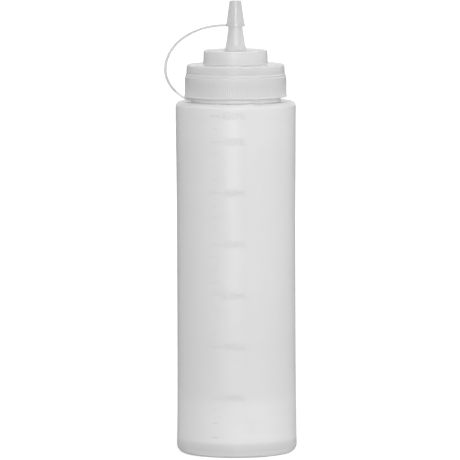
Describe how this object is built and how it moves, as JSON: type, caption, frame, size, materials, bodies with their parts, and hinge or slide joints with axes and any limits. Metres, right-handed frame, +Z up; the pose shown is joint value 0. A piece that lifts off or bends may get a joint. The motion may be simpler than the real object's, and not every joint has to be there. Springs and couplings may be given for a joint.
{
  "type": "sauce bottle",
  "caption": "Translucent plastic squeeze bottle with a moulded volume scale, a ribbed screw lid with a tapered nozzle, and a tip cap held by a strap.",
  "frame": {"origin": "on the bottle's axis, in the plane it stands on", "axes": "+Z up along the bottle's axis; -Y is the front, where the volume scale is; -X is the side where the strap bows out"},
  "size_m": [0.0749, 0.0686, 0.2585],
  "materials": {
    "bottle_plastic": "translucent milky polyethylene, satin",
    "lid_plastic": "translucent milky polyethylene, satin",
    "tether_plastic": "translucent milky polyethylene, satin"
  },
  "bodies": {
    "bottle": {"bottle": "bottle_plastic"},
    "tether": {"tether_ring": "tether_plastic", "tether_strap": "tether_plastic"},
    "lid": {"lid": "lid_plastic"},
    "tip_cap": {"tip_cap": "tether_plastic"}
  },
  "joints": [
    {"name": "lid_turn", "type": "hinge", "parent": "bottle", "child": "tether", "pos_m": [0, 0, 0.2025], "axis": [0, 0, 1], "range_deg": [0, 450]},
    {"name": "lid_rise", "type": "slide", "parent": "tether", "child": "lid", "axis": [0, 0, 1], "range_m": [0, 0.005], "deforming": ["tether_strap"]},
    {"name": "tip_cap_pull", "type": "slide", "parent": "lid", "child": "tip_cap", "axis": [0, 0, 1], "range_m": [0, 0.018], "deforming": ["tether_strap"]}
  ],
  "couplings": [
    {"joint": "lid_rise", "follows": "lid_turn", "m_per_rad": 0.00063662}
  ]
}
